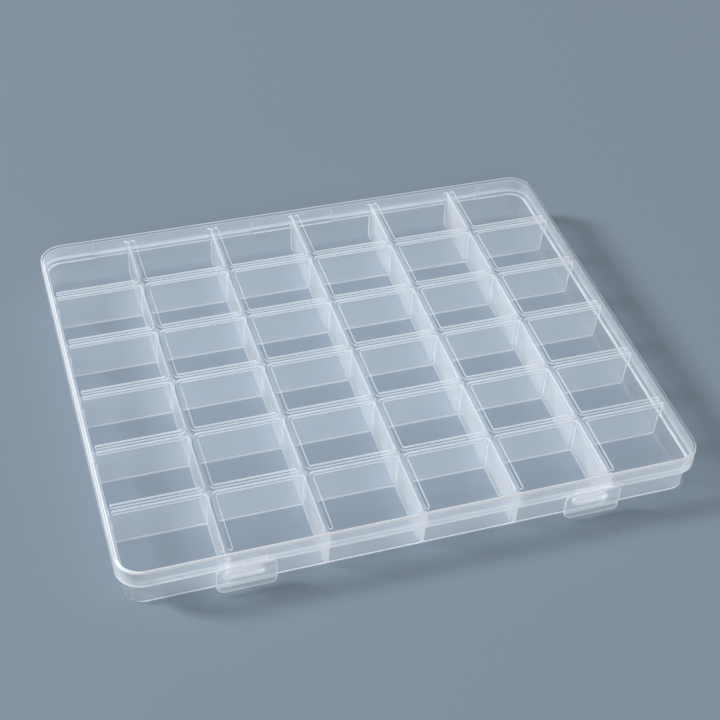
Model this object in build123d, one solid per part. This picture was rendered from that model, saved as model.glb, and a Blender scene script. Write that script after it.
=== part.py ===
"""Flat compartment storage box, moulded in translucent polypropylene.

A shallow tray of six by six compartments, closed by a lid whose skirt drops over the
tray's rim. The lid swings on two thin hinge strips along the back. Two latch plates
hang from the skirt at the front, and each snaps into a catch on the tray's front wall.

Frame: X runs left to right, Y from front to back, Z up. The origin is the middle of the
tray's underside, where the box stands on the table. All sizes are in millimetres.
"""
from build123d import *

import os
from math import cos, radians, sin, tan

# Whole box, shut
box_width = 275.0  # over the lid's skirt, left to right
box_depth = 225.0  # over the lid's skirt, front to back
box_height = 24.5  # from the table to the lid's top face
corner_radius = 12.0  # corners of the skirt, seen from above
draft = 1.0  # degrees that the moulded walls lean

# Lid
lid_thickness = 1.3
lid_edge_radius = 1.4  # rounding along the lid's top edge
skirt_thickness = 1.2
skirt_depth = 9.7  # from the lid's top face to the skirt's lower edge

# Tray
floor_thickness = 1.4
wall_thickness = 1.2
wall_step = 1.2  # how far the wall steps outwards on its way up
ledge_height = 14.2  # from the table to the ledge inside that step
ledge_thickness = 1.0
foot_radius = 1.4  # outside, along the table
floor_fillet = 1.0  # inside, along the floor
skirt_gap = 0.3  # between the tray's rim wall and the skirt around it
rim_gap = 0.6  # between the tray's rim and the lid above it

# Compartments
columns = 6
rows = 6
divider_top = 1.1  # thickness of a divider at its top edge
divider_foot = 1.3  # thickness of a divider at the floor

# Rib frames under the lid, one round each compartment's dividers
rib_width = 2.0
rib_depth = 1.1
rib_spacing = 1.8  # between the two ribs that straddle a divider
rib_inner_radius = 0.9
rib_end_inset = 4.0  # from the skirt's outer face to a rib's free end

# Hinge strips along the back
hinge_length = 85.0
hinge_offset = 65.5  # from the middle of the box to the middle of a strip
hinge_notch = 1.7  # how much lower the rim is behind a strip
hinge_end_gap = 0.5
strip_thickness = 1.0
web_thickness = 0.4  # the thin line where a strip or a latch bends
web_width = 0.9
fold_gap = 0.1  # between a web and the piece that it bends towards
seat_gap = 0.3  # between a strip and the skirt that rests on it

# Latches at the front
latch_offset = 82.0  # from the middle of the box to the middle of a latch
latch_width = 27.6
latch_thickness = 1.2
latch_proud = 0.8  # how far the plate stands out past the skirt
latch_straight = 10.4  # height of the plate down to where its lip begins
lip_length = 2.7
lip_angle = 45.0  # degrees that the lip flares out from the plate
latch_top_radius = 1.5
latch_bottom_radius = 3.2
latch_edge_radius = 0.55
bend_radius = 0.9
arch_height = 1.0  # how much shorter the skirt is over a latch
arch_run = 6.0  # sideways length of each sloping end of that arch
latch_web_width = 24.0

# Catches on the tray, and the hook on each latch that snaps into them
catch_width = 17.6
catch_height = 5.0
catch_wall = 1.2
catch_depth = 1.7
catch_radius = 2.0
catch_middle = 8.6  # from the table to the middle of a catch
hook_end_gap = 0.5
hook_top_gap = 0.2
hook_height = 1.4
hook_depth = 1.5
hook_lead = 0.4  # slope under the hook that helps it in

# Levels and insets that follow from the sizes above
lean = tan(radians(draft))
skirt_bottom = box_height - skirt_depth
lid_underside = box_height - lid_thickness
rim_height = lid_underside - rim_gap
step_height = ledge_height - ledge_thickness
rim_inset = skirt_thickness + skirt_gap
wall_inset = rim_inset + wall_step
column_pitch = (box_width - 2 * (rim_inset + wall_thickness)) / columns
row_pitch = (box_depth - 2 * (rim_inset + wall_thickness)) / rows
front_face = -box_depth / 2
back_face = box_depth / 2


def outline(inset):
    """The box's rounded outline, drawn in by an inset from the skirt's outer face."""
    return RectangleRounded(box_width - 2 * inset, box_depth - 2 * inset, corner_radius - inset)


def block(inset, low, high, taper):
    """A solid of that outline between two levels. A positive taper leans it inwards."""
    return Pos(0, 0, low) * extrude(outline(inset), high - low, taper=taper)


def bar(x, width, y_front, y_back, low, high):
    """A plain bar along X, used for cuts and for thin strips."""
    size = (width, y_back - y_front, high - low)
    return Pos(x, (y_front + y_back) / 2, (low + high) / 2) * Box(*size)


def swept_along_x(points, width):
    """A closed outline in the YZ plane, given as (y, z) points, drawn out along X."""
    face = Plane.YZ * make_face(Polyline(*points, close=True))
    return extrude(face, width / 2, both=True)


def make_cavity():
    """The space inside the tray. It widens at the ledge, except behind the two hinge strips."""
    lower_height = ledge_height - floor_thickness
    lower = block(wall_inset + wall_thickness + lower_height * lean, floor_thickness, ledge_height, -draft)
    lower = fillet(lower.faces().sort_by(Axis.Z)[0].edges(), floor_fillet)
    cavity = lower + block(rim_inset + wall_thickness, ledge_height, rim_height, draft)
    inner = back_face - wall_inset - wall_thickness
    for x in (-hinge_offset, hinge_offset):
        wall_length = hinge_length + 2 * wall_thickness
        cavity -= bar(x, wall_length, inner, back_face, ledge_height, rim_height)
    return cavity


def make_tray(cavity):
    """Floor and outer walls. Behind each hinge strip the wall stays straight and its rim is lower."""
    lower = block(wall_inset + step_height * lean, 0, step_height, -draft)
    lower = fillet(lower.faces().sort_by(Axis.Z)[0].edges(), foot_radius)
    tray = lower + block(rim_inset, step_height, rim_height, draft) - cavity
    outer = back_face - wall_inset
    inner = outer - wall_thickness
    for x in (-hinge_offset, hinge_offset):
        tray -= bar(x, hinge_length, outer, back_face, step_height, rim_height)
        tray -= bar(x, hinge_length, inner, outer, rim_height - hinge_notch, rim_height)
    return tray


def make_divider_blank(length):
    """A tall thin plate along Y, a little thinner at the top than at the floor."""
    foot = divider_foot / 2
    top = divider_top / 2
    points = [(-foot, floor_thickness), (foot, floor_thickness), (top, rim_height), (-top, rim_height)]
    face = Plane.XZ * make_face(Polyline(*points, close=True))
    return extrude(face, length / 2, both=True)


def make_column_dividers(cavity):
    """Plates from front to back, which end on the tray's walls."""
    blank = make_divider_blank(box_depth)
    middle = columns / 2
    return [(Pos((i - middle) * column_pitch, 0, 0) * blank) & cavity for i in range(1, columns)]


def make_row_dividers(cavity, column_dividers):
    """Plates from left to right. Each is one short plate for every compartment that it passes."""
    blank = Rot(0, 0, 90) * make_divider_blank(box_width)
    middle = rows / 2
    plates = [(Pos(0, (middle - i) * row_pitch, 0) * blank) & cavity for i in range(1, rows)]
    return [plate - column_dividers for plate in plates]


def make_catch(x, tray):
    """A raised ring on the front wall. The latch's hook snaps into it."""
    ring = RectangleRounded(catch_width, catch_height, catch_radius)
    ring -= RectangleRounded(catch_width - 2 * catch_wall, catch_height - 2 * catch_wall, catch_radius - catch_wall)
    wall_face = front_face + wall_inset
    root = catch_middle * lean + wall_thickness / 2
    place = Plane(origin=(x, wall_face + root, catch_middle), x_dir=(1, 0, 0), z_dir=(0, -1, 0))
    return place * extrude(ring, catch_depth + root) - tray


def make_hinge_strip(x):
    """A strip on the tray's back wall that thins to a web at the line where the lid turns."""
    wall = back_face - wall_inset
    top = skirt_bottom - seat_gap
    fold = back_face - fold_gap
    points = [
        (wall, top),
        (fold, top),
        (fold, top - web_thickness),
        (fold - web_width, top - web_thickness),
        (fold - web_width - (strip_thickness - web_thickness), top - strip_thickness),
        (wall, top - strip_thickness),
    ]
    return Pos(x, 0, 0) * swept_along_x(points, hinge_length - 2 * hinge_end_gap)


def rib_frame(column, row):
    """The rib round one compartment. It runs along dividers only, so at an outer wall it stays open."""
    from_line = rib_spacing / 2 + rib_width / 2
    end_x = box_width / 2 - rib_end_inset - rib_width / 2
    end_y = box_depth / 2 - rib_end_inset - rib_width / 2
    left = (column - columns / 2) * column_pitch + from_line
    right = (column + 1 - columns / 2) * column_pitch - from_line
    back = (rows / 2 - row) * row_pitch - from_line
    front = (rows / 2 - row - 1) * row_pitch + from_line
    has_side = [row > 0, column < columns - 1, row < rows - 1, column > 0]
    left = left if has_side[3] else -end_x
    right = right if has_side[1] else end_x
    back = back if has_side[0] else end_y
    front = front if has_side[2] else -end_y
    corners = [(left, back), (right, back), (right, front), (left, front)]
    if all(has_side):
        size = (right - left, back - front)
        outer = RectangleRounded(size[0] + rib_width, size[1] + rib_width, rib_inner_radius + rib_width)
        inner = RectangleRounded(size[0] - rib_width, size[1] - rib_width, rib_inner_radius)
        return Pos((left + right) / 2, (back + front) / 2) * (outer - inner)
    start = next(i for i in range(4) if has_side[i] and not has_side[i - 1])
    path = [corners[start]]
    for step in range(4):
        side = (start + step) % 4
        if not has_side[side]:
            break
        path.append(corners[(side + 1) % 4])
    line = FilletPolyline(*path, radius=rib_inner_radius + rib_width / 2)
    return make_face(line.wire().offset_2d(rib_width / 2, kind=Kind.ARC))


def make_lid():
    """Flat panel with a skirt all round, an arch over each latch, and the rib frames underneath."""
    outside = block(0, skirt_bottom, box_height, draft)
    outside = fillet(outside.faces().sort_by(Axis.Z)[-1].edges(), lid_edge_radius)
    inside = block(skirt_thickness, skirt_bottom, lid_underside, draft)
    lid = outside - inside
    for x in (-latch_offset, latch_offset):
        half = latch_web_width / 2
        points = [
            (x - half - arch_run, skirt_bottom),
            (x + half + arch_run, skirt_bottom),
            (x + half, skirt_bottom + arch_height),
            (x - half, skirt_bottom + arch_height),
        ]
        arch = Plane.XZ * make_face(Polyline(*points, close=True))
        lid -= Pos(0, front_face, 0) * extrude(arch, 2 * skirt_thickness, both=True)
    frames = [rib_frame(column, row) for row in range(rows) for column in range(columns)]
    ribs = [Pos(0, 0, lid_underside) * extrude(frame, -rib_depth) for frame in frames]
    return lid + ribs


def make_latch_web(x):
    """The thin strip by which a latch hangs from the skirt."""
    low = skirt_bottom + fold_gap
    high = skirt_bottom + arch_height
    return bar(x, latch_web_width, front_face, front_face + web_thickness, low, high)


def make_latch_plate():
    """The plate in its place across X: straight down to a bend, then a lip that flares outwards."""
    outer = front_face - latch_proud
    inner = outer + latch_thickness
    bend = skirt_bottom - latch_straight
    flare = radians(lip_angle)
    lip_outer = (outer - lip_length * sin(flare), bend - lip_length * cos(flare))
    lip_inner = (lip_outer[0] + latch_thickness * cos(flare), lip_outer[1] - latch_thickness * sin(flare))
    inner_bend = bend - latch_thickness * tan(flare / 2)
    points = [
        (inner, skirt_bottom),
        (outer, skirt_bottom),
        (outer, bend),
        lip_outer,
        lip_inner,
        (inner, inner_bend),
    ]
    profile = make_face(Polyline(*points, close=True))
    bends = profile.vertices().sort_by(Axis.Y)[2:4]
    profile = fillet(bends, bend_radius)
    ends = profile.vertices().sort_by(Axis.Y)
    profile = fillet(ends[:2] + ends[-2:], latch_edge_radius)
    plate = extrude(Plane.YZ * profile, latch_width / 2, both=True)
    low = plate.bounding_box().min.Z
    front_view = Rectangle(latch_width, skirt_bottom - low)
    corners = front_view.vertices().sort_by(Axis.Y)
    front_view = fillet(corners[:2], latch_bottom_radius)
    front_view = fillet(front_view.vertices().sort_by(Axis.Y)[-2:], latch_top_radius)
    window = Plane.XZ * front_view
    window = Pos(0, outer, (skirt_bottom + low) / 2) * extrude(window, lip_length + latch_thickness, both=True)
    return plate & window


def make_hook():
    """The ridge behind a latch plate. It is flat on top, where it holds, and sloped below."""
    root = front_face - latch_proud + latch_thickness
    tip = root + hook_depth
    top = catch_middle + catch_height / 2 - catch_wall - hook_top_gap
    low = top - hook_height
    length = catch_width - 2 * catch_wall - 2 * hook_end_gap
    return swept_along_x([(root, top), (tip, top), (tip, low + hook_lead), (root, low)], length)


def main():
    os.makedirs("parts", exist_ok=True)
    cavity = make_cavity()
    tray = make_tray(cavity)
    column_dividers = make_column_dividers(cavity)
    latch = make_latch_plate() + make_hook()
    pieces = {"tray": tray, "lid": make_lid()}
    for i, divider in enumerate(column_dividers, 1):
        pieces[f"column_divider_{i}"] = divider
    for i, divider in enumerate(make_row_dividers(cavity, column_dividers), 1):
        pieces[f"row_divider_{i}"] = divider
    for side, sign in (("left", -1), ("right", 1)):
        x = sign * latch_offset
        pieces[f"{side}_catch"] = make_catch(x, tray)
        pieces[f"{side}_latch"] = Pos(x, 0, 0) * latch
        pieces[f"{side}_latch_web"] = make_latch_web(x)
        pieces[f"{side}_hinge_strip"] = make_hinge_strip(sign * hinge_offset)
    for name, piece in pieces.items():
        export_step(piece, f"parts/{name}.step")


main()
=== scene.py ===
"""Looks of a flat compartment storage box, moulded in translucent polypropylene.

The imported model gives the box's outline, the levels of its rim and skirt and the places of its
catches, latches and hinge strips. This script models the mouldings around them as by hand, gives
them their plastic, and sets them on a plain floor under soft studio light.
"""
from contextlib import contextmanager
from math import cos, pi, radians, sin, sqrt, tan

import bmesh
import bpy
from bpy.props import FloatProperty, FloatVectorProperty, IntProperty, PointerProperty
from bpy.types import Operator, Panel, PropertyGroup
from mathutils import Matrix, Vector


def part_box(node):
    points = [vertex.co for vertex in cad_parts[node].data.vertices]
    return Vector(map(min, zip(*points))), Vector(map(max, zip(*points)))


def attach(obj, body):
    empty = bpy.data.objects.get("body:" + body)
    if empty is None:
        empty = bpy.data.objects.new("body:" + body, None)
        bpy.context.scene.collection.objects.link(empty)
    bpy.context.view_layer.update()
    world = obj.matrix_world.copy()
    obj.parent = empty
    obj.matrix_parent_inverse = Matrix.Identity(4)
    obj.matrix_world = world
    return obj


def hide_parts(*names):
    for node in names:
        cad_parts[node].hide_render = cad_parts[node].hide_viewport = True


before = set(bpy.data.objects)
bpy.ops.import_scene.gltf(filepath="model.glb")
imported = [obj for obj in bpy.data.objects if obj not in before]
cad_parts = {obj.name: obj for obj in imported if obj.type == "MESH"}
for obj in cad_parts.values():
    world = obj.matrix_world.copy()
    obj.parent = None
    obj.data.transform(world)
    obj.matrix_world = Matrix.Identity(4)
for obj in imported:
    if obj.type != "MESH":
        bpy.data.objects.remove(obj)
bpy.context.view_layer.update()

bl_info = {
    "name": "Compartment storage box",
    "version": (1, 0, 0),
    "blender": (4, 5, 0),
    "location": "View3D > Sidebar > Storage box",
    "description": "Models a flat storage box with compartments, a hinged lid and snap latches",
    "category": "Object",
}

MM = 0.001

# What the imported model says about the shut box
LID_LOW, LID_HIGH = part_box("lid")
TRAY_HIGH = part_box("tray")[1]
BOX_WIDTH = LID_HIGH.x - LID_LOW.x
BOX_DEPTH = LID_HIGH.y - LID_LOW.y
LID_TOP = LID_HIGH.z
SKIRT_BOTTOM = LID_LOW.z
RIM_HEIGHT = TRAY_HIGH.z
RIM_INSET = LID_HIGH.x - TRAY_HIGH.x

SIDES = ("left", "right")

# Faces along a rounding: of the box's own corners, and of most others
CORNER_SEGMENTS = 10
ROUND_SEGMENTS = 4

# How far a cutting tool reaches past what it cuts
REACH = MM
# Places closer than this are the same place
SAME_PLACE = 0.01 * MM
# Slack for telling faces apart by their place
SLACK = 0.1 * MM
# A face looks along an axis if its normal has more than this of it
FACING = 0.9
# A face is level if its normal has more than this of the upright axis
LEVEL = 0.97

# The plastic's milky clouds, each about 33 mm wide: how many in a metre, how fine, how much they differ
CLOUDS_PER_METRE = 30.0
CLOUD_DETAIL = 2.0
CLOUD_SPREAD = 0.2
# Cosine that stands for the flattest view's way through a wall
FLATTEST_COSINE = 0.4
# What smooth polypropylene reflects of a view straight on, and how that grows as the view flattens
STRAIGHT_SHEEN = 0.039
SHEEN_POWER = 5.0


def linear(hex_colour):
    """The linear colour of an sRGB hex value."""
    parts = [int(hex_colour[i:i + 2], 16) / 255 for i in (0, 2, 4)]
    return tuple(p / 12.92 if p <= 0.04045 else ((p + 0.055) / 1.055) ** 2.4 for p in parts)


def length(name, description, millimetres):
    """A length that a user can change, shown in the scene's own unit."""
    return FloatProperty(name=name, description=description, default=millimetres * MM, min=0,
                         precision=5, unit="LENGTH")


def colour(name, description, hex_colour):
    """A colour that a user can change."""
    return FloatVectorProperty(name=name, description=description, default=linear(hex_colour), size=3,
                               min=0, max=1, subtype="COLOR")


def factor(name, description, value):
    """A share from 0 to 1 that a user can change."""
    return FloatProperty(name=name, description=description, default=value, min=0, max=1,
                         subtype="FACTOR")


def strength(name, description, value):
    """The strength of a light, which a user can change."""
    return FloatProperty(name=name, description=description, default=value, min=0)


def angle(name, description, degrees):
    """An angle that a user can change."""
    return FloatProperty(name=name, description=description, default=radians(degrees), subtype="ANGLE")


class TraySizes(PropertyGroup):
    """Walls and floor of the tray, and the plates that divide it."""

    wall: length("Wall", "Thickness of the outer wall", 1.2)
    floor: length("Floor", "Thickness of the floor", 1.4)
    step: length("Step", "How far the wall steps outwards on its way up", 1.2)
    ledge_height: length("Ledge height", "From the table to the ledge inside that step", 14.2)
    ledge: length("Ledge", "Thickness of the ledge", 1.0)
    foot_radius: length("Foot radius", "Outer rounding along the table", 1.6)
    floor_fillet: length("Floor fillet", "Inner rounding where the wall meets the floor", 1.0)
    columns: IntProperty(name="Columns", description="Compartments from left to right", default=6, min=1)
    rows: IntProperty(name="Rows", description="Compartments from front to back", default=6, min=1)
    divider_top: length("Divider top", "Thickness of a divider at its top edge", 1.1)
    divider_foot: length("Divider foot", "Thickness of a divider at the floor", 1.3)
    root_radius: length("Root radius", "Rounding where a divider meets the floor", 0.9)
    pocket_corner: length("Pocket corner", "Rounding where two dividers meet", 0.5)
    top_radius: length("Top radius", "Rounding along a divider's top edge", 0.3)


class LidSizes(PropertyGroup):
    """The lid's panel and skirt, and the rib frames under it."""

    panel: length("Panel", "Thickness of the flat panel", 1.3)
    skirt: length("Skirt", "Thickness of the skirt", 1.2)
    corner_radius: length("Corner radius", "Corners of the box, seen from above", 12.0)
    edge_radius: length("Edge radius", "Rounding along the top edge", 1.4)
    inner_radius: length("Inner radius", "Rounding where the skirt meets the panel, inside", 0.6)
    # Painted glow: the band along the skirt's lower edge gets the whitest plastic, which stands in for light
    # that the skirt carries down to its edge
    glow_band: length("Bead", "Height of the milky line along the skirt's lower edge", 1.1)
    draft: angle("Draft", "Lean of the moulded walls", 1.0)
    rib_width: length("Rib width", "Width of a rib", 2.0)
    rib_depth: length("Rib depth", "How far a rib stands down from the panel", 1.1)
    rib_spacing: length("Rib spacing", "Gap between the two ribs that straddle a divider", 1.8)
    rib_radius: length("Rib corner", "Inner corner radius of a rib frame", 0.9)
    rib_end_inset: length("Rib end", "From the skirt's outer face to a rib's free end", 4.0)
    rib_edge: length("Rib edge", "Rounding along a rib's lower edges", 0.2)
    recess: length("Recess", "Depth of the shallow step in the skirt over a latch", 0.5)
    recess_height: length("Recess height", "Height of that step above the arch", 3.2)
    recess_inset: length("Recess inset", "How much narrower than the latch it is, at each end", 2.2)
    arch_height: length("Arch height", "How much shorter the skirt is over a latch", 1.0)
    arch_run: length("Arch run", "Sideways length of each sloping end of that arch", 6.0)


class HingeSizes(PropertyGroup):
    """The hinge strips, and the straight wall behind them."""

    length: length("Length", "Length of the straight wall behind a strip", 85.0)
    notch: length("Notch", "How much lower the rim is behind a strip", 1.7)
    web: length("Web", "Thickness of the line that bends", 0.4)
    web_width: length("Web width", "Width of that line", 0.9)


class LatchSizes(PropertyGroup):
    """The latch plates with their hooks, and the catches that hold them."""

    plate: length("Plate", "Thickness of a latch plate", 1.2)
    proud: length("Proud", "How far the plate stands out past the skirt", 0.8)
    straight: length("Straight", "Height of the plate down to where its lip begins", 10.4)
    lip: length("Lip", "Length of the flared lip", 2.7)
    lip_angle: angle("Lip angle", "How far the lip flares out", 45.0)
    bend: length("Bend", "Height of the zone in which the lip bends", 0.9)
    top_radius: length("Top corners", "Upper corner radius of the plate", 1.5)
    bottom_radius: length("Bottom corners", "Lower corner radius of the plate", 3.2)
    edge_radius: length("Edge radius", "Rounding along the plate's edges", 0.45)
    catch_wall: length("Catch wall", "Width of the catch's ring", 1.2)
    catch_radius: length("Catch radius", "Corner radius of the catch", 2.0)
    hook_height: length("Hook height", "Height of the ridge behind the plate", 1.4)
    hook_depth: length("Hook depth", "How far the ridge stands out", 1.5)
    hook_lead: length("Hook lead", "Slope under the ridge", 0.4)
    hook_top_gap: length("Hook gap", "Gap between the ridge and the ring above it", 0.2)
    hook_end_gap: length("Hook ends", "Gap between the ridge and the ring's ends", 2.2)


class Finish(PropertyGroup):
    """The plastic."""

    panel: colour("Panel", "Colour of the haze where the mould is polished", "d8e9fc")
    wall: colour("Wall", "Colour of the haze in an outer wall", "edf4fb")
    divider: colour("Divider", "Colour of the haze in a divider", "e6edf4")
    # Partly painted light: where the edge tone goes with the rim, soft edge and edge hazes, its whiteness is
    # partly thick plastic and partly painted highlight and glow on edges, roots, the foot and the skirt's
    # lower edge. These stand in for gloss and for light that the plastic carries to its edges.
    edge: colour("Edge", "Colour of the haze in thick plastic and in a column divider", "fafcff")
    panel_haze: factor("Panel haze", "How much of the view the polished panel or floor hides", 0.14)
    wall_haze: factor("Wall haze", "How much of the view the tray's outer wall hides", 0.17)
    skirt_haze: factor("Skirt haze", "How much of the view the lid's skirt or a rib hides", 0.34)
    row_haze: factor("Row haze", "How much of the view a row divider or the front wall hides", 0.34)
    column_haze: factor("Column haze", "How much of the view a face of a column divider hides", 0.29)
    latch_haze: factor("Latch haze", "How much of the view a latch plate hides", 0.36)
    rim_haze: factor("Rim haze", "How much of the view the tray's foot hides", 0.85)
    soft_haze: factor("Soft edge haze", "How much of the view a face of a soft edge hides", 0.38)
    edge_haze: factor("Edge haze", "How much of the view a face of a sharp edge hides", 0.74)
    panel_shade: factor("Panel shade", "How much of a lamp's light a polished face keeps back", 0.05)
    wall_shade: factor("Wall shade", "How much of a lamp's light a face of an outer wall keeps back", 0.18)
    divider_shade: factor("Divider shade", "How much of a lamp's light a face of a divider keeps back", 0.1)
    edge_shade: factor("Edge shade", "How much of a lamp's light a thick edge keeps back", 0.45)
    roughness: factor("Roughness", "Roughness of the moulded gloss", 0.16)


class StageSettings(PropertyGroup):
    """Camera, floor and lamps."""

    azimuth: angle("Azimuth", "Camera's turn to the left of the front", 20.14)
    elevation: angle("Elevation", "Camera's height above the floor, as an angle", 43.38)
    roll: angle("Roll", "Camera's tilt about its own axis", 3.93)
    distance: length("Distance", "From the lid to the camera", 722.5)
    focal_length: FloatProperty(name="Focal length", description="Lens, for a frame 36 mm wide",
                                default=74.07, unit="CAMERA")
    floor: colour("Floor", "Colour of the floor", "7b8997")
    room: strength("Room", "Strength of the even light from all around", 0.25)
    key: strength("Key lamp", "Level of the soft lamp on the left", 1.27)
    fill: strength("Fill lamp", "Level of the soft lamp in front", 0.37)


class BoxSettings(PropertyGroup):
    """All the settings of the storage box."""

    tray: PointerProperty(type=TraySizes)
    lid: PointerProperty(type=LidSizes)
    hinge: PointerProperty(type=HingeSizes)
    latch: PointerProperty(type=LatchSizes)
    finish: PointerProperty(type=Finish)
    stage: PointerProperty(type=StageSettings)


def settings():
    """The open scene's settings of the storage box."""
    return bpy.context.scene.storage_box


# Modelling


def select_only(pieces):
    """Selects some pieces and nothing else, and makes the first one active."""
    bpy.ops.object.select_all(action="DESELECT")
    for piece in pieces:
        piece.select_set(True)
    bpy.context.view_layer.objects.active = pieces[0]


def add(name, primitive, size=(1, 1, 1), **options):
    """Adds a primitive of size 1 by itself, with its real size and its place put into its mesh."""
    bpy.ops.object.select_all(action="DESELECT")
    primitive(size=1, **options)
    piece = bpy.context.active_object
    piece.scale = size
    piece.name = name
    piece.data.name = name
    bpy.ops.object.transform_apply(location=True, rotation=True, scale=True)
    return piece


@contextmanager
def editing(piece):
    """Edit mode on one piece."""
    select_only([piece])
    bpy.ops.object.mode_set(mode="EDIT")
    yield
    bpy.ops.object.mode_set(mode="OBJECT")


def middle(part):
    """The middle of a face or edge of a mesh, or the place of a vertex."""
    if hasattr(part, "co"):
        return part.co
    return sum((v.co for v in part.verts), Vector()) / len(part.verts)


def pick(piece, kind, test):
    """Selects the faces, edges or vertices that pass a test, on the piece in edit mode."""
    bpy.ops.mesh.select_mode(type={"faces": "FACE", "edges": "EDGE", "verts": "VERT"}[kind])
    bpy.ops.mesh.select_all(action="DESELECT")
    mesh = bmesh.from_edit_mesh(piece.data)
    for part in getattr(mesh, kind):
        if test(part):
            part.select_set(True)
    mesh.select_flush_mode()
    bmesh.update_edit_mesh(piece.data)


def pick_all():
    """Selects the whole mesh in edit mode."""
    bpy.ops.mesh.select_all(action="SELECT")


def face_outwards():
    """Turns every face of the mesh in edit mode outwards."""
    pick_all()
    bpy.ops.mesh.normals_make_consistent(inside=False)


def cut_across(place, direction):
    """Cuts the mesh in edit mode along a plane, and leaves both halves."""
    pick_all()
    bpy.ops.mesh.bisect(plane_co=place, plane_no=direction)


def draw_up(name, levels, corner_radius=0.0, segments=CORNER_SEGMENTS, centre=(0.0, 0.0)):
    """A closed solid drawn up through (width, depth, height) levels, lowest first."""
    width, depth, height = levels[0]
    place = (centre[0], centre[1], height)
    piece = add(name, bpy.ops.mesh.primitive_plane_add, size=(width, depth, 1), location=place)
    with editing(piece):
        pick_all()
        if corner_radius:
            bpy.ops.mesh.bevel(affect="VERTICES", offset=corner_radius, segments=segments)
            pick_all()
        for next_width, next_depth, next_height in levels[1:]:
            rise = (0, 0, next_height - height)
            spread = (next_width / width, next_depth / depth, 1)
            bpy.ops.mesh.extrude_region_move(TRANSFORM_OT_translate={"value": rise})
            bpy.ops.transform.resize(value=spread, center_override=(centre[0], centre[1], next_height))
            width, depth, height = next_width, next_depth, next_height
        face_outwards()
    return piece


def bar(name, low, high):
    """A block between two corners."""
    size = Vector(high) - Vector(low)
    place = (Vector(high) + Vector(low)) / 2
    return add(name, bpy.ops.mesh.primitive_cube_add, size=size, location=place)


def join(pieces):
    """Several pieces as one mesh, under the first one's name."""
    select_only(pieces)
    bpy.ops.object.join()
    return pieces[0]


def apply_modifier(piece, kind, **options):
    """Adds a modifier with its options and applies it."""
    modifier = piece.modifiers.new(kind.title(), kind)
    for option, value in options.items():
        setattr(modifier, option, value)
    select_only([piece])
    bpy.ops.object.modifier_apply(modifier=modifier.name)


def combine(piece, tool, operation):
    """Cuts a tool from a piece, or welds it on. The tool is used up."""
    apply_modifier(piece, "BOOLEAN", operation=operation, object=tool, solver="EXACT")
    bpy.data.objects.remove(tool)


def round_edges(piece, kind, test, radius, segments=ROUND_SEGMENTS):
    """Rounds the edges of the faces, or the edges, that pass a test."""
    with editing(piece):
        pick(piece, kind, test)
        bpy.ops.mesh.bevel(affect="EDGES", offset=radius, segments=segments)


def copy_moved(piece, name, distance):
    """A copy with a mesh of its own, moved by a distance."""
    twin = piece.copy()
    twin.data = piece.data.copy()
    twin.name = name
    twin.data.name = name
    twin.data.transform(Matrix.Translation(distance))
    bpy.context.scene.collection.objects.link(twin)
    return twin


def finish_mesh(piece, smooth_below=radians(35), merge_below=0.002 * MM):
    """Merges doubles, turns the faces outwards and smooths what bends gently."""
    with editing(piece):
        pick_all()
        bpy.ops.mesh.remove_doubles(threshold=merge_below)
        face_outwards()
    bpy.ops.object.shade_smooth_by_angle(angle=smooth_below)


def draw_outline(name, levels):
    """A closed solid of the box's rounded outline, drawn up through (inset, height) levels.

    An inset is measured from the skirt's outer face.
    """
    radius = settings().lid.corner_radius - levels[0][0]
    sizes = [(BOX_WIDTH - 2 * inset, BOX_DEPTH - 2 * inset, height) for inset, height in levels]
    return draw_up(name, sizes, corner_radius=radius)


def inside_rim():
    """From the skirt's outer face to the inner face of the tray's upper wall."""
    return RIM_INSET + settings().tray.wall


def compartments():
    """Width and depth that the compartments take up together, and their pitch."""
    tray = settings().tray
    width = BOX_WIDTH - 2 * inside_rim()
    depth = BOX_DEPTH - 2 * inside_rim()
    return width, depth, Vector((width / tray.columns, depth / tray.rows))


def inner_lines(full, count):
    """Where the dividers stand along one side of the box."""
    inner = full - 2 * inside_rim()
    return [(i / count - 0.5) * inner for i in range(1, count)]


def divider_lines(place):
    """For X and Y, how far the nearest divider or side wall is, and whether it is a side wall."""
    tray = settings().tray
    found = []
    for along, full, count in ((place.x, BOX_WIDTH, tray.columns), (place.y, BOX_DEPTH, tray.rows)):
        inner = full - 2 * inside_rim()
        line = round((along + inner / 2) / inner * count)
        found.append((abs(along + inner / 2 - line * inner / count), line in (0, count)))
    return found


def is_level(normal):
    """True for a face that lies flat."""
    return abs(normal.z) > LEVEL


def is_upright(edge):
    """True for an edge that stands up."""
    first, second = edge.verts
    return abs(first.co.z - second.co.z) > MM / 2


def same(value, wanted):
    """True for two lengths that differ by no more than rounding."""
    return abs(value - wanted) < 2 * SAME_PLACE


def looks_down_below(height):
    """A test for the faces that look down and lie below a height."""
    return lambda face: middle(face).z < height and face.normal.z < -FACING


# Tray


def strip_middle(side):
    """Where a hinge strip has its middle, from left to right."""
    low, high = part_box(f"{side}_hinge_strip")
    return (low.x + high.x) / 2


def cut_hinge_seats(body):
    """Sets the upper back wall in behind each hinge strip, and lowers its rim there."""
    tray = settings().tray
    hinge = settings().hinge
    outer = BOX_DEPTH / 2 - (RIM_INSET + tray.step)
    inner = outer - tray.wall
    past_wall = 0.05 * MM
    step_height = tray.ledge_height - tray.ledge
    above = RIM_HEIGHT + REACH
    for side in SIDES:
        x = strip_middle(side)
        left, right = x - hinge.length / 2, x + hinge.length / 2
        seat = bar("seat", (left, outer, step_height - REACH / 2), (right, BOX_DEPTH / 2, above))
        combine(body, seat, "DIFFERENCE")
        low = (left, inner - past_wall, RIM_HEIGHT - hinge.notch)
        notch = bar("notch", low, (right, outer + REACH, above))
        combine(body, notch, "DIFFERENCE")


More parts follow.
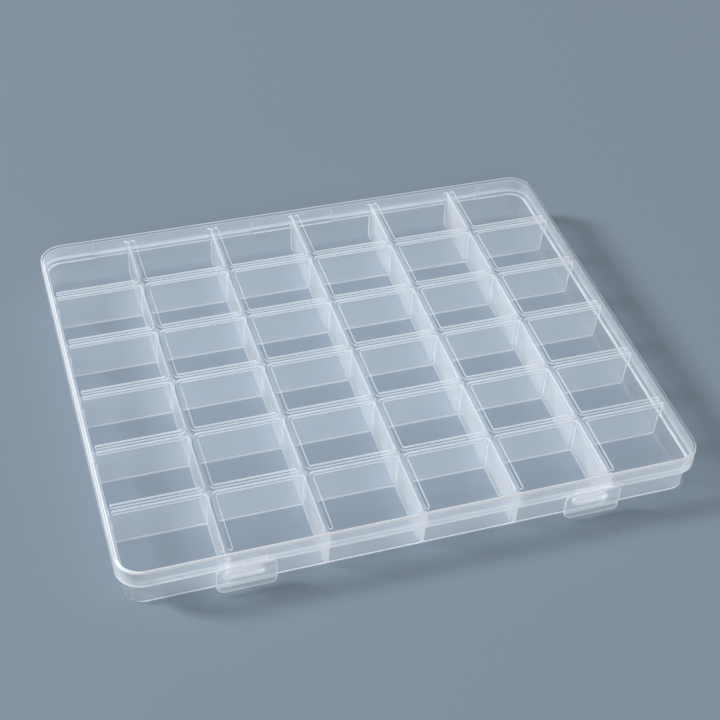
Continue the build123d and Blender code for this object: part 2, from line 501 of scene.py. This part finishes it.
def line_front_wall(body):
    """Cuts lines into the front wall beside the column dividers' ends, which show there as milky stripes."""
    tray = settings().tray
    half_end = tray.divider_foot / 2 + tray.pocket_corner
    with editing(body):
        for line in inner_lines(BOX_WIDTH, tray.columns):
            for x in (line - half_end, line + half_end):
                pick(body, "faces", lambda face: face.normal.y < -FACING)
                bpy.ops.mesh.bisect(plane_co=(x, 0, 0), plane_no=(1, 0, 0))


def make_outside():
    """The tray's outer form, filled: it steps outwards below the skirt."""
    tray = settings().tray
    lean = tan(settings().lid.draft)
    lower = RIM_INSET + tray.step
    step_height = tray.ledge_height - tray.ledge
    over_foot = tray.foot_radius + MM / 2
    body = draw_outline("tray_moulding", [
        (lower + step_height * lean, 0),
        (lower + (step_height - over_foot) * lean, over_foot),
        (lower, step_height),
        (RIM_INSET, step_height),
        (RIM_INSET + (RIM_HEIGHT - step_height) * lean, RIM_HEIGHT),
    ])
    round_edges(body, "faces", looks_down_below(MM), tray.foot_radius)
    cut_hinge_seats(body)
    line_front_wall(body)
    return body


def pocket_profile():
    """(plate, height) levels beside a divider: its thickness, with a rounded root and top."""
    tray = settings().tray
    root, top = tray.root_radius, tray.top_radius
    turns = [i / ROUND_SEGMENTS * pi / 2 for i in range(ROUND_SEGMENTS + 1)]
    profile = [(tray.divider_foot + 2 * root * (1 - sin(turn)), tray.floor + root * (1 - cos(turn)))
               for turn in turns]
    profile += [(tray.divider_top - 2 * top * (1 - cos(turn)), RIM_HEIGHT - top * (1 - sin(turn)))
                for turn in turns]
    profile.append((profile[-1][0], RIM_HEIGHT + 10 * REACH))
    return profile


def make_pockets():
    """A block in each compartment. What stays free between the blocks becomes the dividers."""
    tray = settings().tray
    width, depth, pitch = compartments()
    levels = [(pitch.x - plate, pitch.y - plate, height) for plate, height in pocket_profile()]
    block = draw_up("pockets", levels, tray.pocket_corner, segments=ROUND_SEGMENTS)
    blocks = []
    for column in range(tray.columns):
        for row in range(tray.rows):
            x = (column + 0.5) * pitch.x - width / 2
            y = (row + 0.5) * pitch.y - depth / 2
            blocks.append(copy_moved(block, "pocket", Vector((x, y, 0))))
    bpy.data.objects.remove(block)
    pockets = join(blocks)
    # The outer blocks reach out past the walls, which the core's own outline then gives
    with editing(pockets):
        for axis, full, step in (("x", width, pitch.x), ("y", depth, pitch.y)):
            for sign in (-1, 1):
                pick(pockets, "verts", lambda v: sign * getattr(v.co, axis) > (full - step) / 2)
                outwards = Vector()
                setattr(outwards, axis, sign * 10 * REACH)
                bpy.ops.transform.translate(value=outwards)
    return pockets


def make_gussets():
    """Upright bars, set on edge, that thicken the corners between the dividers and the side walls."""
    tray = settings().tray
    side = (tray.divider_foot / 2 + tray.pocket_corner) * sqrt(2)
    inner = inside_rim()
    gussets = []
    for inset, low, high in (
        (inner + tray.step, tray.floor / 2, tray.ledge_height - SLACK),
        (inner, tray.ledge_height - 2 * SLACK, RIM_HEIGHT + 2 * REACH),
    ):
        x_wall = BOX_WIDTH / 2 - inset
        y_wall = BOX_DEPTH / 2 - inset
        places = [(line, sign * y_wall) for line in inner_lines(BOX_WIDTH, tray.columns) for sign in (-1, 1)]
        places += [(sign * x_wall, line) for line in inner_lines(BOX_DEPTH, tray.rows) for sign in (-1, 1)]
        for x, y in places:
            gussets.append(add("gusset", bpy.ops.mesh.primitive_cube_add, size=(side, side, high - low),
                               location=(x, y, (low + high) / 2), rotation=(0, 0, pi / 4)))
    return join(gussets)


def make_core():
    """The space inside the tray, all compartments together, as the mould's core fills it."""
    tray = settings().tray
    hinge = settings().hinge
    lean = tan(settings().lid.draft)
    lower = RIM_INSET + tray.step + tray.wall
    upper = inside_rim()
    above = RIM_HEIGHT + 4 * REACH
    core = draw_outline("core", [
        (lower + (tray.ledge_height - tray.floor) * lean, tray.floor),
        (lower, tray.ledge_height),
        (upper, tray.ledge_height),
        (upper + (above - tray.ledge_height) * lean, above),
    ])
    round_edges(core, "faces", looks_down_below(tray.floor + MM / 2), tray.floor_fillet)
    # The wall stays behind each hinge strip, where it is set in
    inner = BOX_DEPTH / 2 - lower
    half = hinge.length / 2 + tray.wall
    for side in SIDES:
        x = strip_middle(side)
        low = (x - half, inner, tray.ledge_height - REACH)
        wall = bar("wall", low, (x + half, BOX_DEPTH / 2, above + REACH))
        combine(core, wall, "DIFFERENCE")
    combine(core, make_pockets(), "INTERSECT")
    combine(core, make_gussets(), "DIFFERENCE")
    return core


def make_catch(side):
    """The raised ring on the front wall, as a plate that is inset, opened and drawn out."""
    latch = settings().latch
    low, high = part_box(f"{side}_catch")
    size = high - low
    place = ((low.x + high.x) / 2, low.y, (low.z + high.z) / 2)
    ring = add("ring", bpy.ops.mesh.primitive_plane_add, size=(size.x, size.z, 1), location=place,
               rotation=(pi / 2, 0, 0))
    with editing(ring):
        pick_all()
        bpy.ops.mesh.bevel(affect="VERTICES", offset=latch.catch_radius, segments=CORNER_SEGMENTS)
        pick_all()
        bpy.ops.mesh.select_mode(type="FACE")
        bpy.ops.mesh.inset(thickness=latch.catch_wall)
        bpy.ops.mesh.delete(type="FACE")
        pick_all()
        bpy.ops.mesh.extrude_region_move(TRANSFORM_OT_translate={"value": (0, size.y, 0)})
        face_outwards()
    front_radius = 0.25 * MM
    round_edges(ring, "faces", lambda face: middle(face).y < low.y + SLACK, front_radius, segments=2)
    return ring


def make_hinge_strip(side):
    """The strip along the back wall, which thins to a web at the line where it bends."""
    hinge = settings().hinge
    low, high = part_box(f"{side}_hinge_strip")
    rise = high.z - low.z - hinge.web
    into_wall = 0.3 * MM
    strip = bar("strip", (low.x, low.y - into_wall, low.z), high)
    web_start = high.y - hinge.web_width
    with editing(strip):
        for y in (web_start - rise, web_start):
            cut_across((0, y, 0), (0, 1, 0))
        pick(strip, "verts", lambda v: v.co.z < low.z + SAME_PLACE and v.co.y > web_start - SAME_PLACE)
        bpy.ops.transform.translate(value=(0, 0, rise))
    return strip


# Lid


def draw_ribs(near, far, end, bottom):
    """Square ribs beside the dividers, from a grid of the compartments that is inset twice.

    Near and far are a rib's two sides, measured from its divider.
    """
    lid = settings().lid
    tray = settings().tray
    width, depth, _ = compartments()
    ribs = add("ribs", bpy.ops.mesh.primitive_grid_add, size=(width, depth, 1), location=(0, 0, bottom),
               x_subdivisions=tray.columns, y_subdivisions=tray.rows)

    def in_frame(face):
        """True for a ring face along a divider."""
        lines = divider_lines(middle(face))
        return any(same(distance, (near + far) / 2) and not at_side for distance, at_side in lines)

    with editing(ribs):
        pick_all()
        bpy.ops.mesh.select_mode(type="FACE")
        bpy.ops.mesh.inset(thickness=near, use_individual=True, use_even_offset=True)
        bpy.ops.mesh.inset(thickness=lid.rib_width, use_individual=True, use_even_offset=True)
        pick(ribs, "faces", lambda face: not in_frame(face))
        bpy.ops.mesh.delete(type="FACE")
        for axis, full in (("x", width), ("y", depth)):
            for sign in (-1, 1):
                for distance in (near, far):
                    line = sign * (full / 2 - distance)
                    pick(ribs, "verts", lambda v: same(getattr(v.co, axis), line))
                    shift = Vector()
                    setattr(shift, axis, sign * (distance - end))
                    bpy.ops.transform.translate(value=shift)
        pick_all()
        rise = (0, 0, lid.rib_depth + lid.panel / 2)
        bpy.ops.mesh.extrude_region_move(TRANSFORM_OT_translate={"value": rise})
        face_outwards()
    return ribs


def make_ribs():
    """The rib frames under the lid, with round corners, free ends and lower edges."""
    lid = settings().lid
    width, depth, _ = compartments()
    near = lid.rib_spacing / 2
    far = near + lid.rib_width
    end = lid.rib_end_inset - inside_rim()
    bottom = LID_TOP - lid.panel - lid.rib_depth
    ribs = draw_ribs(near, far, end, bottom)

    def corner(distance):
        """A test for the upright edges at a distance from two dividers."""
        def test(edge):
            return is_upright(edge) and all(same(found, distance) for found, _ in divider_lines(middle(edge)))
        return test

    def at_end(edge):
        place = middle(edge)
        at_x = same(abs(place.x), width / 2 - end)
        at_y = same(abs(place.y), depth / 2 - end)
        return is_upright(edge) and (at_x or at_y)

    def lower_edge(edge):
        low = middle(edge).z < bottom + SAME_PLACE
        return low and not all(is_level(face.normal) for face in edge.link_faces)

    # The two roundings of a free end stop just short of each other
    end_radius = 0.49 * lid.rib_width
    round_edges(ribs, "edges", corner(near), lid.rib_radius + lid.rib_width)
    round_edges(ribs, "edges", corner(far), lid.rib_radius)
    round_edges(ribs, "edges", at_end, end_radius)
    round_edges(ribs, "edges", lower_edge, lid.rib_edge, segments=2)
    return ribs


def cut_arch(shell, side):
    """Makes the skirt shorter over a latch, and a little thinner just above that."""
    lid = settings().lid
    low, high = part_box(f"{side}_latch_web")
    below = SKIRT_BOTTOM - 2 * REACH
    arch_top = SKIRT_BOTTOM + lid.arch_height
    run_below = lid.arch_run * (lid.arch_height + SKIRT_BOTTOM - below) / lid.arch_height
    through_skirt = 4 * lid.skirt
    arch = draw_up("arch", [
        (high.x - low.x + 2 * run_below, through_skirt, below),
        (high.x - low.x, through_skirt, arch_top),
    ], centre=((low.x + high.x) / 2, LID_LOW.y))
    combine(shell, arch, "DIFFERENCE")
    recess = bar("recess", (low.x + lid.recess_inset, LID_LOW.y - REACH, arch_top - SLACK),
                 (high.x - lid.recess_inset, LID_LOW.y + lid.recess, arch_top + lid.recess_height))
    combine(shell, recess, "DIFFERENCE")


def make_lid_shell():
    """Panel and skirt, with an arch over each latch and the rib frames under the panel."""
    lid = settings().lid
    lean = tan(lid.draft)
    underside = LID_TOP - lid.panel
    below = SKIRT_BOTTOM - 2 * REACH
    shell = draw_outline("lid_moulding", [
        (0, SKIRT_BOTTOM),
        # A band along the skirt's lower edge, for its painted glow
        (lid.glow_band * lean, SKIRT_BOTTOM + lid.glow_band),
        ((LID_TOP - SKIRT_BOTTOM) * lean, LID_TOP),
    ])
    round_edges(shell, "faces", lambda face: middle(face).z > LID_TOP - SAME_PLACE, lid.edge_radius)
    inside = draw_outline("inside", [
        (lid.skirt + (below - SKIRT_BOTTOM) * lean, below),
        (lid.skirt + (underside - SKIRT_BOTTOM) * lean, underside),
    ])
    ceiling = underside - SAME_PLACE
    round_edges(inside, "faces", lambda face: middle(face).z > ceiling, lid.inner_radius, segments=3)
    combine(inside, make_ribs(), "DIFFERENCE")
    combine(shell, inside, "DIFFERENCE")
    for side in SIDES:
        cut_arch(shell, side)
    return shell


# Latches


def make_latch_web(side):
    """The living hinge of a latch: a thin band with a waist along the line where it bends."""
    low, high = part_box(f"{side}_latch_web")
    web = bar(f"{side}_latch_web_strip", low, high)
    waist = (low.z + high.z) / 2
    centre = (low.y + high.y) / 2
    waist_share = 0.6
    waist_bevel = 0.2 * MM
    with editing(web):
        cut_across((0, 0, waist), (0, 0, 1))
        pick(web, "verts", lambda v: abs(v.co.z - waist) < SAME_PLACE)
        bpy.ops.transform.resize(value=(1, waist_share, 1), center_override=(0, centre, waist))
        bpy.ops.mesh.bevel(affect="EDGES", offset=waist_bevel, segments=3)
        face_outwards()
    return web


def bend_lip(plate, height, axis):
    """Bends what lies below a height outwards, in a few small turns about lines in the plate's middle."""
    latch = settings().latch
    turns = 4
    rounding = 0.001 * MM
    with editing(plate):
        heights = [height + latch.bend * (i / (turns - 1) - 0.5) for i in range(turns)]
        for z in heights:
            cut_across((0, 0, z), (0, 0, 1))
        for z in heights:
            pick(plate, "verts", lambda v: v.co.z < z - rounding)
            turn = latch.lip_angle / turns
            bpy.ops.transform.rotate(value=turn, orient_axis="X", center_override=(0, axis, z))
        face_outwards()


def make_hook(inner):
    """The ridge behind the left latch's plate, which snaps in under the upper bar of the catch's ring."""
    latch = settings().latch
    low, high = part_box("left_catch")
    top = high.z - latch.catch_wall - latch.hook_top_gap
    inset = latch.catch_wall + latch.hook_end_gap
    tip = inner + latch.hook_depth
    hook = bar("hook", (low.x + inset, inner - latch.plate / 2, top - latch.hook_height),
               (high.x - inset, tip, top))
    with editing(hook):
        pick(hook, "edges", lambda edge: middle(edge).z < top - MM and middle(edge).y > tip - SAME_PLACE)
        bpy.ops.transform.translate(value=(0, 0, latch.hook_lead))
    return hook


def make_latch_plate():
    """The left latch: a plate with round corners, a lip bent outwards and the hook behind it."""
    latch = settings().latch
    low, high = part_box("left_latch")
    outer = LID_LOW.y - latch.proud
    inner = outer + latch.plate
    bend = SKIRT_BOTTOM - latch.straight
    plate = bar("left_latch_plate", (low.x, outer, bend - latch.lip), (high.x, inner, high.z))

    def corner(at_top):
        """A test for the edges through the plate, above its bend or below it."""
        def test(edge):
            first, second = edge.verts
            lies_back = abs(first.co.y - second.co.y) > MM / 2
            return lies_back and (middle(edge).z > bend) == at_top
        return test

    round_edges(plate, "edges", corner(True), latch.top_radius, segments=6)
    round_edges(plate, "edges", corner(False), latch.bottom_radius, segments=8)
    bend_lip(plate, bend, (outer + inner) / 2)
    apply_modifier(plate, "BEVEL", width=latch.edge_radius, segments=3, limit_method="ANGLE",
                   angle_limit=radians(40))
    combine(plate, make_hook(inner), "UNION")
    return plate


# Plastic


def add_node(tree, kind, inputs=None, **options):
    """Adds a node. An input, by its name or number, is a value or the node that feeds it."""
    node = tree.nodes.new(kind)
    for option, value in options.items():
        setattr(node, option, value)
    live = [socket for socket in node.inputs if socket.enabled]
    for key, value in (inputs or {}).items():
        socket = live[key] if isinstance(key, int) else next(one for one in live if one.name == key)
        if isinstance(value, bpy.types.Node):
            tree.links.new(next(one for one in value.outputs if one.enabled), socket)
        elif isinstance(value, bpy.types.NodeSocket):
            tree.links.new(value, socket)
        else:
            socket.default_value = value
    return node


def moulded_polypropylene(name, tone, haze, shade, forwards, both_faces=False):
    """Natural polypropylene from a polished mould: milky inside, so that the view shows through it pale
    and soft, and glossy outside.

    Haze is the share of the view that a face hides when it is seen straight on. Shade is the share of a
    lamp's light that it keeps back, which is less, as milky plastic mostly scatters forwards. Forwards is
    the share of the hidden light that comes through the face from behind. Unless both faces of a wall
    count, the one where the view enters it has all of the haze.
    """
    material = bpy.data.materials.new(name)
    material.use_nodes = True
    tree = material.node_tree
    tree.nodes.clear()
    # Slow clouds, where the plastic cooled unevenly
    place = add_node(tree, "ShaderNodeTexCoord").outputs["Object"]
    clouds = add_node(tree, "ShaderNodeTexNoise",
                      {"Vector": place, "Scale": CLOUDS_PER_METRE, "Detail": CLOUD_DETAIL})
    clearest = 1 - (1 - CLOUD_SPREAD) * haze
    cloudiest = 1 - (1 + CLOUD_SPREAD) * haze
    clear = add_node(tree, "ShaderNodeMapRange", {"Value": clouds, "To Min": clearest, "To Max": cloudiest})
    # The flatter the view, the longer its way through the wall and the more it hides
    slant = add_node(tree, "ShaderNodeLayerWeight", {"Blend": 0.5}).outputs["Facing"]
    cosine = add_node(tree, "ShaderNodeMapRange", {"Value": slant, "To Min": 1.0, "To Max": FLATTEST_COSINE})
    path = add_node(tree, "ShaderNodeMath", {0: 1.0, 1: cosine}, operation="DIVIDE")
    seen = add_node(tree, "ShaderNodeMath", {0: clear, 1: path}, operation="POWER")
    if not both_faces:
        leaving = add_node(tree, "ShaderNodeNewGeometry").outputs["Backfacing"]
        seen = add_node(tree, "ShaderNodeMath", {0: seen, 1: leaving}, operation="MAXIMUM")
    front = add_node(tree, "ShaderNodeBsdfDiffuse", {"Color": (*tone, 1)})
    back = add_node(tree, "ShaderNodeBsdfTranslucent", {"Color": (*tone, 1)})
    cloudy = add_node(tree, "ShaderNodeMixShader", {0: forwards, 1: front, 2: back})
    through = add_node(tree, "ShaderNodeBsdfTransparent")
    inside = add_node(tree, "ShaderNodeMixShader", {0: seen, 1: cloudy, 2: through})
    # The gloss of a smooth plastic with a refractive index of 1.49, the same from both sides of a face
    steep = add_node(tree, "ShaderNodeMath", {0: slant, 1: SHEEN_POWER}, operation="POWER")
    sheen = add_node(tree, "ShaderNodeMapRange", {"Value": steep, "To Min": STRAIGHT_SHEEN, "To Max": 1.0})
    gloss = add_node(tree, "ShaderNodeBsdfGlossy", {"Roughness": settings().finish.roughness})
    surface = add_node(tree, "ShaderNodeMixShader", {0: sheen, 1: inside, 2: gloss})
    # A lamp's light goes straight through, and loses a little
    from_lamp = add_node(tree, "ShaderNodeLightPath").outputs["Is Shadow Ray"]
    passed = add_node(tree, "ShaderNodeBsdfTransparent", {"Color": (1 - shade, 1 - shade, 1 - shade, 1)})
    surface = add_node(tree, "ShaderNodeMixShader", {0: from_lamp, 1: surface, 2: passed})
    add_node(tree, "ShaderNodeOutputMaterial", {"Surface": surface})
    return material


def plastics():
    """What makes up the plastic of each kind of face."""
    finish = settings().finish
    return {
        "panel": dict(tone=finish.panel, haze=finish.panel_haze, shade=finish.panel_shade, forwards=0.4),
        "wall": dict(tone=finish.wall, haze=finish.wall_haze, shade=finish.wall_shade, forwards=0.55),
        "skirt": dict(tone=finish.wall, haze=finish.skirt_haze, shade=finish.wall_shade, forwards=0.5),
        "row": dict(tone=finish.divider, haze=finish.row_haze, shade=finish.divider_shade, forwards=0.5),
        "column": dict(tone=finish.edge, haze=finish.column_haze, shade=finish.divider_shade, forwards=0.45,
                       both_faces=True),
        "latch": dict(tone=finish.wall, haze=finish.latch_haze, shade=finish.wall_shade, forwards=0.55),
        # Rim, soft edge and edge: whiter plastic that is partly painted highlight and glow along edges
        "rim": dict(tone=finish.edge, haze=finish.rim_haze, shade=finish.edge_shade, forwards=0.9),
        "soft_edge": dict(tone=finish.edge, haze=finish.soft_haze, shade=finish.divider_shade, forwards=0.45,
                          both_faces=True),
        "edge": dict(tone=finish.edge, haze=finish.edge_haze, shade=finish.edge_shade, forwards=0.3,
                     both_faces=True),
    }


def dress(piece, kind_of, slot, body, nodes):
    """Gives a piece its plastic, by the kind that kind_of tells of each face, and ties it to the model."""
    kinds = [kind_of(face) for face in piece.data.polygons]
    used = [kind for kind in plastics() if kind in kinds]
    piece.data.materials.clear()
    for kind in used:
        piece.data.materials.append(moulded_polypropylene(f"{slot}_{kind}", **plastics()[kind]))
    for face, kind in zip(piece.data.polygons, kinds):
        face.material_index = used.index(kind)
    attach(piece, body)
    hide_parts(*nodes)


def within_outline(place, inset):
    """True for a place that is less than the inset away from the box's sides."""
    return max(abs(place.x) - BOX_WIDTH / 2, abs(place.y) - BOX_DEPTH / 2) > -inset


def kind_in_tray(face):
    """Where the tray's plastic is thick it is milky. Its foot, ledge, rim and divider roots are whiter still,
    partly as painted highlight lines and glow, and its front wall is painted milkier where the fill lamp
    lights it.
    """
    tray = settings().tray
    normal, place = face.normal, face.center
    level = is_level(normal)
    along_row = abs(normal.y) > abs(normal.x)
    wall_zone = 7 * MM
    divider_zone = 2 * MM
    at_wall = within_outline(place, wall_zone)
    beside_column = divider_lines(place)[0][0]
    step_height = tray.ledge_height - tray.ledge
    ledge = at_wall and level and step_height - SLACK < place.z < tray.ledge_height + SLACK
    front_wall = -(BOX_DEPTH / 2 - RIM_INSET - tray.step)
    catch = place.y < front_wall - SLACK and place.z < step_height
    column_end = normal.y < -FACING and place.y < front_wall + MM and beside_column < SLACK
    root = place.z < tray.floor + tray.root_radius + SLACK and not level
    foot = root and normal.z < 0
    back_wall = BOX_DEPTH / 2 - RIM_INSET - tray.step - tray.wall
    jog = place.y > back_wall - 2 * SLACK and abs(normal.x) > FACING and place.z < RIM_HEIGHT - 2 * MM
    rim = place.z > RIM_HEIGHT - MM / 2 and at_wall
    near_divider = any(distance < divider_zone and not at_side for distance, at_side in divider_lines(place))
    # An upright face that looks between two axes
    diagonal = min(abs(normal.x), abs(normal.y)) > 0.2 and abs(normal.z) < 0.1
    # Painted glow: the foot gets nearly opaque white plastic, lit mostly from behind, which stands in for
    # light that the walls carry down to it
    if foot:
        return "rim"
    # A catch's front, the wall's jogs and the roots of the column dividers, which the left lamp lights, get
    # the softer painted highlight
    if catch and along_row or jog or root and not at_wall and not along_row:
        return "soft_edge"
    # The rest of a catch, the roots of the row dividers, and where dividers meet each other or a wall. The
    # row dividers' roots face the fill lamp, and their whiter plastic is a painted highlight line there.
    if catch or ledge or rim or column_end or near_divider and diagonal or root and not at_wall:
        return "edge"
    # The floor, and the tops of the column dividers
    if level or not along_row and place.z > RIM_HEIGHT - tray.top_radius:
        return "panel"
    # Painted light: the front wall, lit and seen from the front, gets the milkier plastic of a row divider,
    # while the back and side walls keep the clearer wall plastic
    if at_wall and (place.y > 0 or not along_row):
        return "wall"
    return "row" if along_row else "column"


def kind_in_lid(face):
    """The lid's edges and the corner under its top edge are milky, most of all along the front and back,
    where the whiter plastic is a painted highlight for the fill lamp's light on the rounding.
    """
    lid = settings().lid
    normal, place = face.normal, face.center
    level = is_level(normal)
    underside = LID_TOP - lid.panel
    arch_top = SKIRT_BOTTOM + lid.arch_height
    along_row = abs(normal.y) > abs(normal.x)
    # The painted highlight on the top edge's front and back runs on round the box's corners, almost to its
    # sides
    front_or_back = abs(normal.y) > 0.4 * abs(normal.x)
    top_edge = place.z > underside + SAME_PLACE and not level
    inner_corner = underside - lid.inner_radius - SLACK < place.z < underside - SAME_PLACE and not level
    rib_level = underside - lid.rib_depth - SLACK < place.z < underside - SLACK
    rib = rib_level and not within_outline(place, 2 * MM)
    skirt_edge = place.z < SKIRT_BOTTOM + lid.glow_band
    recess_top = level and abs(place.z - arch_top - lid.recess_height) < SAME_PLACE
    in_front_skirt = place.y < LID_LOW.y + 2 * lid.recess
    straight = abs(place.x) < BOX_WIDTH / 2 - lid.corner_radius
    recess = straight and abs(normal.y) > FACING and lid.recess / 2 < place.y - LID_LOW.y < 2 * lid.recess
    # Painted highlights: the front and back of the top edge, and the ribs' faces that look to the front or
    # back, get the whitest plastic; the sides, which the left lamp lights, get a softer one
    if top_edge and front_or_back or rib and not level and along_row:
        return "edge"
    # Painted glow along the skirt's lower edge, and a painted highlight line along the top of the recess over
    # a latch
    if skirt_edge or in_front_skirt and recess_top:
        return "edge"
    if top_edge or rib and not level or recess and place.z > arch_top:
        return "soft_edge"
    if rib:
        return "skirt"
    if inner_corner:
        return "edge"
    return "panel" if level else "skirt"


def kind_in_latch(face):
    """The hook is softly milky, and so are the roundings and the bend, only more, partly as painted highlight
    where the plate curves.
    """
    latch = settings().latch
    normal = face.normal
    rounding = 0.01
    behind_plate = LID_LOW.y - latch.proud + latch.plate + SLACK
    in_lip = abs(abs(normal.z) - sin(latch.lip_angle)) < rounding
    flat = abs(normal.x) < rounding and (abs(normal.y) > 1 - rounding or in_lip)
    if face.center.y > behind_plate:
        return "soft_edge"
    return "latch" if flat else "edge"


def kind_in_web(face):
    """The web is stretched milky all over."""
    return "edge"


# Stage


def add_floor():
    """A sheet of plain paper just under the box."""
    side = 12.0
    under_box = -0.01 * MM
    floor = add("floor", bpy.ops.mesh.primitive_plane_add, size=(side, side, 1), location=(0, 0, under_box))
    paper = bpy.data.materials.new("studio_paper")
    paper.use_nodes = True
    # Paper is matt, with no gloss that the eye would see
    matt = 0.7
    shader = paper.node_tree.nodes["Principled BSDF"]
    shader.inputs["Base Color"].default_value = (*settings().stage.floor, 1)
    shader.inputs["Roughness"].default_value = matt
    floor.data.materials.append(paper)


def light_room():
    """Even light from all around, a little warm."""
    warm_white = (1, 0.99, 0.975, 1)
    world = bpy.data.worlds.new("studio")
    bpy.context.scene.world = world
    world.use_nodes = True
    background = world.node_tree.nodes["Background"]
    background.inputs["Color"].default_value = warm_white
    background.inputs["Strength"].default_value = settings().stage.room


def add_softbox(name, towards, size, level, distance=12.0):
    """A square soft lamp that looks at the box's middle. At level 1, white paper that faces it is white."""
    lamp = bpy.data.lights.new(name, "AREA")
    lamp.energy = level * pi ** 2 * distance ** 2
    lamp.size = size
    softbox = bpy.data.objects.new(name, lamp)
    bpy.context.scene.collection.objects.link(softbox)
    softbox.location = distance * towards.normalized()
    softbox.rotation_euler = (-towards).to_track_quat("-Z", "Y").to_euler()


def add_camera():
    """A camera at the photograph's angle. It aims at a point on the lid, a little in front of its middle."""
    stage = settings().stage
    lens = bpy.data.cameras.new("camera")
    lens.lens = stage.focal_length
    lens.sensor_width = 36
    camera = bpy.data.objects.new("camera", lens)
    bpy.context.scene.collection.objects.link(camera)
    azimuth = Matrix.Rotation(-stage.azimuth, 3, "Z")
    elevation = Matrix.Rotation(pi / 2 - stage.elevation, 3, "X")
    turn = azimuth @ elevation @ Matrix.Rotation(stage.roll, 3, "Z")
    aim = Vector((0.6 * MM, -11.1 * MM, LID_TOP))
    camera.location = aim + turn @ Vector((0, 0, stage.distance))
    camera.rotation_euler = turn.to_euler()
    bpy.context.scene.camera = camera


# Operators


class StorageBoxOperator:
    """What the operators of this add-on share."""

    bl_options = {"REGISTER", "UNDO"}


class STORAGEBOX_OT_tray(StorageBoxOperator, Operator):
    """Model the tray with its dividers, catches and hinge strips as one moulding"""

    bl_idname = "storagebox.tray"
    bl_label = "Tray"

    def execute(self, context):
        tray = settings().tray
        body = make_outside()
        combine(body, make_core(), "DIFFERENCE")
        for side in SIDES:
            combine(body, make_catch(side), "UNION")
            combine(body, make_hinge_strip(side), "UNION")
        finish_mesh(body)
        nodes = ["tray"]
        nodes += [f"column_divider_{i}" for i in range(1, tray.columns)]
        nodes += [f"row_divider_{i}" for i in range(1, tray.rows)]
        nodes += [f"{side}_{part}" for side in SIDES for part in ("catch", "hinge_strip")]
        dress(body, kind_in_tray, "tray_polypropylene", "tray", nodes)
        return {"FINISHED"}


class STORAGEBOX_OT_lid(StorageBoxOperator, Operator):
    """Model the lid with its skirt and rib frames"""

    bl_idname = "storagebox.lid"
    bl_label = "Lid"

    def execute(self, context):
        shell = make_lid_shell()
        finish_mesh(shell)
        dress(shell, kind_in_lid, "lid_polypropylene", "lid", ["lid"])
        return {"FINISHED"}


class STORAGEBOX_OT_latches(StorageBoxOperator, Operator):
    """Model the two latch plates and the webs that they hang from"""

    bl_idname = "storagebox.latches"
    bl_label = "Latches"

    def execute(self, context):
        plate = make_latch_plate()
        finish_mesh(plate)
        distance = Vector((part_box("right_latch")[0].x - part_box("left_latch")[0].x, 0, 0))
        plates = {"left": plate, "right": copy_moved(plate, "right_latch_plate", distance)}
        for side in SIDES:
            node = f"{side}_latch"
            dress(plates[side], kind_in_latch, "latch_polypropylene", node, [node])
            web = make_latch_web(side)
            finish_mesh(web)
            dress(web, kind_in_web, "lid_polypropylene", "lid", [f"{side}_latch_web"])
        return {"FINISHED"}


class STORAGEBOX_OT_stage(StorageBoxOperator, Operator):
    """Set up the floor, the soft lamps and the camera"""

    bl_idname = "storagebox.stage"
    bl_label = "Stage"

    def execute(self, context):
        stage = settings().stage
        add_floor()
        light_room()
        left = Vector((-0.41, 0.18, 0.25))
        front = Vector((-0.3, -0.85, 0.6))
        add_softbox("key", left, size=2.2, level=stage.key)
        add_softbox("fill", front, size=3.2, level=stage.fill)
        add_camera()
        context.scene.view_settings.view_transform = "Standard"
        # Enough for a flat view through all the dividers
        context.scene.cycles.transparent_max_bounces = 48
        return {"FINISHED"}


class STORAGEBOX_PT_panel(Panel):
    """The storage box's panel in the 3D view's sidebar"""

    bl_idname = "STORAGEBOX_PT_panel"
    bl_label = "Storage box"
    bl_space_type = "VIEW_3D"
    bl_region_type = "UI"
    bl_category = "Storage box"

    def draw(self, context):
        for operator in OPERATORS:
            self.layout.operator(operator.bl_idname)


OPERATORS = (STORAGEBOX_OT_tray, STORAGEBOX_OT_lid, STORAGEBOX_OT_latches, STORAGEBOX_OT_stage)
CLASSES = (TraySizes, LidSizes, HingeSizes, LatchSizes, Finish, StageSettings, BoxSettings,
           *OPERATORS, STORAGEBOX_PT_panel)


def register():
    for cls in CLASSES:
        bpy.utils.register_class(cls)
    bpy.types.Scene.storage_box = PointerProperty(type=BoxSettings)


def unregister():
    del bpy.types.Scene.storage_box
    for cls in reversed(CLASSES):
        bpy.utils.unregister_class(cls)


def main():
    register()
    bpy.ops.storagebox.tray()
    bpy.ops.storagebox.lid()
    bpy.ops.storagebox.latches()
    bpy.ops.storagebox.stage()


if __name__ == "__main__":
    main()
